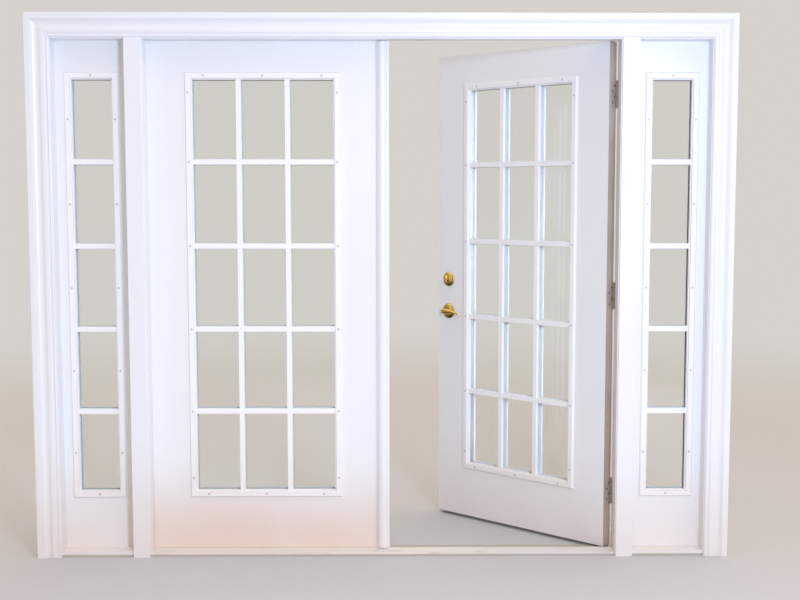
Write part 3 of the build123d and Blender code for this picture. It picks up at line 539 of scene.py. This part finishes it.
def arrisedBox(low, high, arris):
    # a box with its edges ground off, as points and faces
    shape = bmesh.new()
    bmesh.ops.create_cube(shape, size=1.0)
    for vertex in shape.verts:
        vertex.co = Vector([low[i] + (vertex.co[i] + 0.5) * (high[i] - low[i]) for i in range(3)])
    rounding = {"offset": arris, "segments": 2, "affect": "EDGES", "profile": 0.5}
    bmesh.ops.bevel(shape, geom=shape.edges[:], **rounding)
    shape.verts.ensure_lookup_table()
    points = [tuple(v.co) for v in shape.verts]
    faces = [[v.index for v in f.verts] for f in shape.faces]
    shape.free()
    return points, faces


def gather(parts):
    # several (points, faces) as one
    points, faces = [], []
    for partPoints, partFaces in parts:
        start = len(points)
        points += list(partPoints)
        faces += [[i + start for i in face] for face in partFaces]
    return points, faces


def placedAt(part, place, out, up=(0, 0, 1)):
    # local x is along, y is up and z is out of the surface
    out, up = Vector(out).normalized(), Vector(up).normalized()
    along = up.cross(out)
    points = [Vector(place) + along * x + up * y + out * z for x, y, z in part[0]]
    return [tuple(p) for p in points], part[1]


def circlePoints(radius, height, steps):
    turns = [2 * pi * s / steps for s in range(steps)]
    return [(radius * cos(turn), radius * sin(turn), height) for turn in turns]


def ringFaces(rings, steps):
    # the quads between rings of steps points each
    faces = []
    for ring in range(rings - 1):
        for s in range(steps):
            a, b = ring * steps + s, ring * steps + (s + 1) % steps
            faces.append([a, b, b + steps, a + steps])
    return faces


def turnedProfile(profile, steps=64):
    # a (radius, height) profile turned about its local z
    points = []
    for radius, height in profile:
        points += circlePoints(radius, height, steps)
    faces = ringFaces(len(profile), steps)
    faces.append(list(range(steps))[::-1])
    faces.append([(len(profile) - 1) * steps + s for s in range(steps)])
    return points, faces


# Cross recess of a screw head, as shares of the head's radius
crossRecess = {
    "depth": 0.42,
    "reach": 0.62,
    "halfWidth": 0.13,
    "floorEnd": 0.66,
    "countersink": 0.55,
}


def crossHead(radius, crown, shank, length):
    # a screw with a cross recess: rings from its centre out, then the countersunk side and shank
    rings, steps = 9, 48
    points, faces = [(0, 0, crown - crossRecess["depth"] * radius)], []
    for ring in range(1, rings + 1):
        r = radius * ring / rings
        for s in range(steps):
            turn = 2 * pi * s / steps
            x, y = r * cos(turn), r * sin(turn)
            top = crown * sqrt(max(0.0, 1 - (r / radius) ** 2))
            inReach = r < crossRecess["reach"] * radius
            if inReach and min(abs(x), abs(y)) < crossRecess["halfWidth"] * radius:
                top -= crossRecess["depth"] * (radius - r / crossRecess["floorEnd"])
            points.append((x, y, top))
    for z in (-radius * crossRecess["countersink"], -length):
        points += circlePoints(shank, z, steps)
    for s in range(steps):
        faces.append([0, 1 + s, 1 + (s + 1) % steps])
    for ring in range(rings + 1):
        for s in range(steps):
            a, b = 1 + ring * steps + s, 1 + ring * steps + (s + 1) % steps
            faces.append([a, a + steps, b + steps, b])
    faces.append([1 + (rings + 1) * steps + s for s in range(steps)])
    return points, faces


# Insulated glass: two panes and a spacer round their edge, hidden behind the lite frames
doubleGlass = {
    "pane": 3.0,
    "paneArris": 0.6,
    "spacer": 5.0,
    "spacerArris": 0.8,
    "sealant": 0.8,
    "play": 0.05,
}


def glaze(nodeName, patternName, mirrored, body, turned):
    low, high = (list(c * 1000 for c in corner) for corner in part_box(patternName))
    if mirrored:
        low[0], high[0] = -high[0], -low[0]
    pane, edge = doubleGlass["pane"], doubleGlass["spacer"]
    panes = gather([
        arrisedBox(low, (high[0], low[1] + pane, high[2]), doubleGlass["paneArris"]),
        arrisedBox((low[0], high[1] - pane, low[2]), high, doubleGlass["paneArris"]),
    ])
    replaced = (nodeName,)
    makePiece("panes_" + nodeName, *panes, floatGlass, body, "glass", replaced, turned, False)
    gap = doubleGlass["sealant"]
    front, back = low[1] + pane + doubleGlass["play"], high[1] - pane - doubleGlass["play"]
    left, right, bottom, top = low[0] + gap, high[0] - gap, low[2] + gap, high[2] - gap
    bars = gather([
        arrisedBox((x0, front, z0), (x1, back, z1), doubleGlass["spacerArris"])
        for x0, z0, x1, z1 in (
            (left, bottom, left + edge, top),
            (right - edge, bottom, right, top),
            (left + edge, bottom, right - edge, bottom + edge),
            (left + edge, top - edge, right - edge, top),
        )
    ])
    makePiece("spacer_" + nodeName, *bars, millAluminium, body, "glass", replaced, turned)


glaze("leaf_glass_left", "leaf_glass_left", False, "leaf_left", False)
glaze("leaf_glass_right", "leaf_glass_left", True, "leaf_right", True)
for side in sides:
    glaze("sidelite_glass_" + side, "sidelite_glass_" + side, False, "frame", False)
print("glazing ready")

# Hinge screws: four a plate, staggered, with a cross recess in a flat countersunk head
hingeScrews = {
    "levels": (236, 1025, 1818),
    "offsets": (-33, -11, 11, 33),
    "depth": 100.5,
    "stagger": 7,
    "jamb": 922,
    "leaf": 919,
    "firstTurn": 23,
    "turnStep": 37,
    "head": (4.05, 0.5, 2.3, 21.5),
}


def screwSet(sign, across, outSign):
    parts = []
    for level in hingeScrews["levels"]:
        for index, offset in enumerate(hingeScrews["offsets"]):
            deep = hingeScrews["depth"] + hingeScrews["stagger"] * (1 if index % 2 else -1)
            # each is driven home at its own angle
            turn = radians(hingeScrews["firstTurn"] + hingeScrews["turnStep"] * index + level)
            place = (sign * across, deep, level + offset)
            out = (sign * outSign, 0, 0)
            screw = crossHead(*hingeScrews["head"])
            parts.append(placedAt(screw, place, out, (0, sin(turn), cos(turn))))
    return parts


jambScrews = gather(screwSet(-1, hingeScrews["jamb"], -1) + screwSet(1, hingeScrews["jamb"], -1))
replaced = ("hinge_screws_jamb",)
makePiece("screws_jamb", *jambScrews, rustyZinc, "frame", "rusty_screw", replaced)
for side, sign in (("left", -1), ("right", 1)):
    leafScrews = gather(screwSet(sign, hingeScrews["leaf"], 1))
    body, replaced = "leaf_" + side, ("hinge_screws_leaf_" + side,)
    turned = sign > 0
    makePiece("screws_" + body, *leafScrews, rustyZinc, body, "rusty_screw", replaced, turned)
print("hinge screws ready")

# Lock trim on the active leaf, all about the lock axes and in brass
lockTrim = {
    "axis": 71.3,
    "leverLevel": 916,
    "deadboltLevel": 1056,
    "roomFace": 71.5,
    "outsideFace": 116,
    # radius and height above the door: a rolled rim, a step and a low dome
    "rose": [
        (10.9, 0), (33.1, 0), (33.4, 0.8), (33.1, 2.4), (32.2, 3.3), (30.8, 3.7), (30.0, 4.1),
        (29.2, 4.9), (26.5, 6.9), (23.0, 8.9), (18.5, 10.5), (14.0, 11.5), (11.4, 11.8),
        (10.9, 11.4),
    ],
    # the hub that carries the lever: a collar, a waist and a rounded cap
    "hub": [
        (10.5, 1), (10.5, 10), (10.2, 11.5), (9.0, 13), (8.4, 17), (8.4, 24), (9.2, 28), (10.4, 32),
        (11.2, 36), (11.0, 39), (9.8, 41.6), (6.5, 43.1), (2.5, 43.5),
    ],
    # along the lever: distance, reach, rise, half height, half thickness
    "blade": [
        (-2, 36.6, 0.2, 9.6, 7.2), (8, 36.6, 0.4, 9.4, 7.4), (18, 36.6, 0.6, 9.0, 7.2),
        (28, 36.4, 0.4, 8.3, 6.8), (38, 36.0, -0.3, 7.4, 6.2), (48, 35.4, -1.2, 6.4, 5.6),
        (58, 34.6, -2.4, 5.4, 5.0), (68, 33.6, -4.2, 4.6, 4.4), (76, 32.6, -6.8, 3.9, 3.8),
        (82, 31.8, -9.8, 3.2, 3.2), (86, 31.2, -11.8, 2.3, 2.4), (88, 30.9, -12.6, 0.9, 1.0),
    ],
}


def smoothValue(a, b, c, d, t):
    # a curve through b and c that leaves from a and goes on to d
    square = (2 * a - 5 * b + 4 * c - d) * t * t
    cube = (3 * b - a - 3 * c + d) * t ** 3
    return 0.5 * (2 * b + (c - a) * t + square + cube)


def smoothRows(rows, parts):
    # rows joined by a smooth curve, with parts steps between each pair
    result = []
    for i in range(len(rows) - 1):
        before, start, end = rows[max(i - 1, 0)], rows[i], rows[i + 1]
        after = rows[min(i + 2, len(rows) - 1)]
        for step in range(parts):
            t = step / parts
            result.append([smoothValue(*four, t) for four in zip(before, start, end, after)])
    return result + [list(rows[-1])]


def bladeLoft(rows, steps=28):
    # rounded sections along local x, reach along z and height along y
    points = []
    for along, reach, rise, high, deep in smoothRows(rows, 4):
        for s in range(steps):
            turn = 2 * pi * s / steps
            points.append((along, rise + cos(turn) * high, reach + sin(turn) * deep))
    rings = len(points) // steps
    faces = ringFaces(rings, steps)
    faces.append(list(range(steps)))
    faces.append([(rings - 1) * steps + s for s in range(steps)])
    return points, faces


def lockPlace(face, level):
    # the spot on the leaf's face, and the way out of it
    deep = lockTrim["roomFace"] if face < 0 else lockTrim["outsideFace"]
    return (lockTrim["axis"], deep, level), (0, face, 0)


def castPiece(name, part, body, replaced, voxel=0.0008, rounds=6):
    # the parts of a casting flow into each other: one skin, then smoothed
    piece = makePiece(name, *part, polishedBrass, body, "polished_brass", replaced, True)
    skin = {"mode": "VOXEL", "voxel_size": voxel, "use_smooth_shade": True}
    return applied(piece, ("REMESH", skin), ("SMOOTH", {"factor": 0.5, "iterations": rounds}))


for face, where in ((-1, "inside"), (1, "outside")):
    place, out = lockPlace(face, lockTrim["leverLevel"])
    rose = placedAt(turnedProfile(lockTrim["rose"], 96), place, out)
    replaced = ("lever_rose_" + where,)
    makePiece("rose_" + where, *rose, polishedBrass, "leaf_right", "polished_brass", replaced, True)
    # both levers point at the hinges, which is local -x outside
    blade = bladeLoft([(-face * row[0], *row[1:]) for row in lockTrim["blade"]])
    handle = gather([turnedProfile(lockTrim["hub"]), blade])
    body = "lever_" + where
    castPiece("handle_" + where, placedAt(handle, place, out), body, (body,))

# Deadbolt: a smaller rose with a turn knob in the room
deadboltTrim = {
    "rose": [
        (7.4, 0), (31.2, 0), (31.4, 0.8), (31.2, 2.6), (30.1, 3.5), (28.8, 3.9), (28.0, 4.7),
        (26.0, 6.2), (22.0, 8.6), (17.0, 10.6), (12.0, 11.8), (7.6, 12.1), (7.4, 11.7),
    ],
    "collar": [(6.9, 1), (6.9, 12), (6.6, 13.5), (5.6, 15.5), (3.4, 17.0)],
    "knob": [
        (-17, 18.6, 0, 2.0, 1.6), (-14.5, 18.6, 0, 4.4, 3.0), (-9, 18.8, 0, 4.8, 4.2),
        (0, 19.0, 0, 4.6, 5.2), (9, 18.8, 0, 4.8, 4.2), (14.5, 18.6, 0, 4.4, 3.0),
        (17, 18.6, 0, 2.0, 1.6),
    ],
    "screwAt": 20.5,
    "screwHigh": 9.0,
    "screwTurn": 0.4,
    "screw": (3.2, 1.2, 1.4, 6),
}
place, out = lockPlace(-1, lockTrim["deadboltLevel"])
deadRose = placedAt(turnedProfile(deadboltTrim["rose"], 96), place, out)
replaced = ("deadbolt_rose",)
makePiece("rose_deadbolt", *deadRose, polishedBrass, "leaf_right", "polished_brass", replaced, True)
knobPoints, knobFaces = bladeLoft(deadboltTrim["knob"])
knob = ([(y, x, z) for x, y, z in knobPoints], knobFaces)
thumb = gather([turnedProfile(deadboltTrim["collar"], 40), knob])
thumb = placedAt(thumb, place, out)
castPiece("turn_knob", thumb, "thumb_turn", ("thumb_turn",), voxel=0.0006, rounds=3)
roseScrews = gather([
    placedAt(
        crossHead(*deadboltTrim["screw"]),
        (place[0] + sign * deadboltTrim["screwAt"], place[1] - deadboltTrim["screwHigh"], place[2]),
        out,
        (sin(deadboltTrim["screwTurn"] + sign), 0, cos(deadboltTrim["screwTurn"] + sign)),
    )
    for sign in (-1, 1)
])
makePiece("screws_deadbolt", *roseScrews, polishedBrass, "leaf_right", "polished_brass", (), True)

# Screws of the bolt faceplates and of the strikes
plateScrews = {
    "depth": 93.75,
    "head": (3.6, 0.35, 1.8, 8),
    # face along X, way out of it, distance above and below the bolt, body, made closed and turned
    "faceplate": (11, (-1, 0, 0), 22, "leaf_right", True),
    "strike": (8, (1, 0, 0), 23, "leaf_left", False),
}
for name in ("faceplate", "strike"):
    across, out, spread, body, turned = plateScrews[name]
    heads = gather([
        placedAt(
            crossHead(*plateScrews["head"]),
            (across, plateScrews["depth"], level + sign * spread),
            out,
            (0, sin(level + sign), cos(level + sign)),
        )
        for level in (lockTrim["leverLevel"], lockTrim["deadboltLevel"])
        for sign in (-1, 1)
    ])
    makePiece("screws_" + name, *heads, brightZinc, body, "bolt_steel", (), turned)
print("lock trim ready")

# Studio: a pale floor that fades into the plain background, a cool soft key from the right, and a
# warm ambient light, dimmer at eye level so that the brass has something dark to reflect
studio = {
    "floor": "#C4C4C6",
    "floorMottle": "#BAB9BB",
    "mottleSize": (40, 40, 40),
    "mottleRange": (0.3, 0.7),
    "mottleDepth": 0.12,
    "floorRadius": 60,
    "background": "#D5D1CC",
    "fadeFrom": 3.0,
    "fadeTo": 9.0,
    "ambient": ("#FFE6D2", "#FFF0E2"),
    "ambientLevel": 0.73,
    "ambientBlend": (-0.6, 0.6),
    "ambientLean": 0.38,
    "eyeLevelDim": 0.62,
    "eyeLevelRange": (0.06, 0.3),
    "overhead": 0.62,
    "overheadRange": (0.45, 0.85),
    "keyPlace": (1.2, -4.6, 2.0),
    "keyAim": (0.0, 0.0, 1.05),
    "keySize": 0.6,
    "keyPower": 134.0,
    "keyColour": "#CCDDFF",
}
floorMesh = bpy.data.meshes.new("studioFloor")
floorShape = bmesh.new()
bmesh.ops.create_circle(floorShape, cap_ends=True, radius=studio["floorRadius"], segments=96)
floorShape.to_mesh(floorMesh)
floorShape.free()
floor = bpy.data.objects.new("studioFloor", floorMesh)
bpy.context.scene.collection.objects.link(floor)

# Painted studio board: matt, with a faint mottle, lost in the background far from the doors
board, tree, shader = newMaterial("mattPaintedBoard", Roughness=0.85)
place = addNode(tree, "TexCoord").outputs["Object"]
mottle = speckle(tree, place, studio["mottleSize"], 6.0)
mottle = ramp(tree, mottle, *studio["mottleRange"], 0.0, studio["mottleDepth"])
greys = blendColours(tree, mottle, studio["floor"], studio["floorMottle"])
tree.links.new(greys, shader.inputs["Base Color"])
distance = addNode(tree, "VectorMath", {"operation": "LENGTH"}, None, {0: place}).outputs["Value"]
path = addNode(tree, "LightPath")
seen = combine(tree, "MAXIMUM", path.outputs["Is Camera Ray"], path.outputs["Is Transmission Ray"])
far = ramp(tree, distance, studio["fadeFrom"], studio["fadeTo"])
glow = addNode(tree, "Emission", None, {"Color": linearColour(studio["background"])})
tree.links.new(ramp(tree, seen, 0, 1, studio["eyeLevelDim"], 1.0), glow.inputs["Strength"])
fade = {0: far, 1: shader.outputs[0], 2: glow.outputs[0]}
showInstead(tree, addNode(tree, "MixShader", links=fade).outputs[0])
floorMesh.materials.append(board)

world = bpy.data.worlds.new("plainStudio")
bpy.context.scene.world = world
world.use_nodes = True
tree = world.node_tree
tree.nodes.clear()
path = addNode(tree, "LightPath")
seen = combine(tree, "MAXIMUM", path.outputs["Is Camera Ray"], path.outputs["Is Transmission Ray"])
course = addNode(tree, "SeparateXYZ", links={0: addNode(tree, "TexCoord").outputs["Generated"]})
upward = course.outputs[2]
hue = blendColours(tree, ramp(tree, upward, *studio["ambientBlend"]), *studio["ambient"])
lean = combine(tree, "MULTIPLY", course.outputs[0], studio["ambientLean"])
strength = combine(tree, "ADD", lean, studio["ambientLevel"])
dimmed = ramp(tree, upward, *studio["eyeLevelRange"], studio["eyeLevelDim"], 1.0)
strength = combine(tree, "MULTIPLY", strength, dimmed)
overhead = ramp(tree, upward, *studio["overheadRange"], 0.0, studio["overhead"])
strength = combine(tree, "ADD", strength, overhead)
ambient = addNode(tree, "Background", links={"Color": hue, "Strength": strength})
plain = {"Color": linearColour(studio["background"]), "Strength": 1.0}
shown = addNode(tree, "Background", values=plain)
choice = {0: seen, 1: ambient.outputs[0], 2: shown.outputs[0]}
mixed = addNode(tree, "MixShader", links=choice)
addNode(tree, "OutputWorld", links={"Surface": mixed.outputs[0]})

keyData = bpy.data.lights.new("softKey", "AREA")
keyData.shape = "SQUARE"
keyData.size = studio["keySize"]
keyData.energy = studio["keyPower"]
keyData.color = linearColour(studio["keyColour"])[:3]
key = bpy.data.objects.new("softKey", keyData)
key.location = studio["keyPlace"]
keyWay = Vector(studio["keyAim"]) - Vector(studio["keyPlace"])
key.rotation_euler = keyWay.to_track_quat("-Z", "Y").to_euler()
bpy.context.scene.collection.objects.link(key)
bpy.context.scene.view_settings.view_transform = "Standard"
print("studio ready")

bpy.context.view_layer.update()
